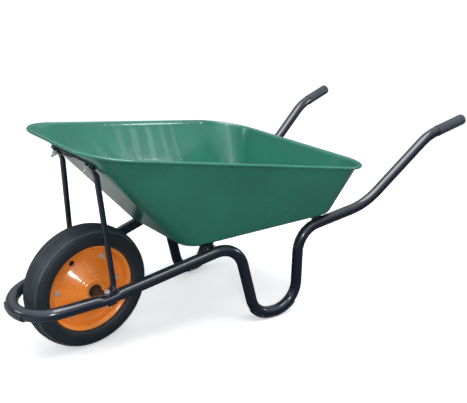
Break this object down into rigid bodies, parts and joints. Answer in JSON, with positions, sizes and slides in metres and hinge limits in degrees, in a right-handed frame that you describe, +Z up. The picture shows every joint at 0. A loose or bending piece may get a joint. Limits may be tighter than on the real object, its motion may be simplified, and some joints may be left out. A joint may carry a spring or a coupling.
{
  "type": "wheelbarrow",
  "caption": "Single-wheel builder's wheelbarrow: pressed sheet-metal tray on a one-piece bent tube frame with a nose loop and U-shaped legs, and a turning pressed-disc wheel.",
  "frame": {"origin": "centre of the overall bounding box in plan, on the ground under it (z = 0 is the ground that the tyre and the leg skids stand on)", "axes": "+X to the operator's left, +Y from the wheel towards the handles, +Z up; the barrow is mirror-symmetric about the plane x = 0 except for its fastener tips"},
  "size_m": [0.666, 1.4486, 0.5741],
  "materials": {
    "tray_paint": "glossy green enamel on pressed sheet steel",
    "frame_paint": "satin-gloss blue-black enamel on steel tube and flat bar",
    "wheel_paint": "glossy orange enamel on pressed sheet steel",
    "tyre_rubber": "matt black moulded rubber with fine grooves",
    "zinc": "bright zinc plate on hardware",
    "grip_plastic": "moulded black plastic",
    "bush_plastic": "dark moulded plastic"
  },
  "bodies": {
    "frame": {"axle": "frame_paint", "axle_bolt_left": "zinc", "axle_bolt_right": "zinc", "axle_nut_left": "zinc", "axle_nut_right": "zinc", "axle_spacer_left": "bush_plastic", "axle_spacer_right": "bush_plastic", "axle_washer_left": "zinc", "axle_washer_right": "zinc", "frame_tube": "frame_paint", "front_bolt_left": "zinc", "front_bolt_right": "zinc", "front_nut_left": "zinc", "front_nut_right": "zinc", "front_strap": "frame_paint", "front_washer_left": "zinc", "front_washer_right": "zinc", "grip_left": "grip_plastic", "grip_right": "grip_plastic", "leg_skid_left": "frame_paint", "leg_skid_right": "frame_paint", "lug_bolt_left": "zinc", "lug_bolt_right": "zinc", "lug_nut_left": "zinc", "lug_nut_right": "zinc", "nose_guard": "frame_paint", "saddle_bolt_left": "zinc", "saddle_bolt_right": "zinc", "saddle_nut_left": "zinc", "saddle_nut_right": "zinc", "stay_left": "frame_paint", "stay_right": "frame_paint", "tray": "tray_paint", "tray_lug_left": "frame_paint", "tray_lug_right": "frame_paint", "tray_saddle_left": "frame_paint", "tray_saddle_right": "frame_paint"},
    "wheel": {"disc_bolt_1": "zinc", "disc_bolt_2": "zinc", "disc_bolt_3": "zinc", "disc_bolt_4": "zinc", "disc_bolt_5": "zinc", "disc_nut_1": "zinc", "disc_nut_2": "zinc", "disc_nut_3": "zinc", "disc_nut_4": "zinc", "disc_nut_5": "zinc", "hub_bush_left": "bush_plastic", "hub_bush_right": "bush_plastic", "hub_tube": "wheel_paint", "tyre": "tyre_rubber", "wheel_disc_left": "wheel_paint", "wheel_disc_right": "wheel_paint"}
  },
  "joints": [
    {"name": "wheel_spin", "type": "hinge", "parent": "frame", "child": "wheel", "pos_m": [0, -0.50796, 0.1683], "axis": [1, 0, 0], "continuous": true}
  ]
}
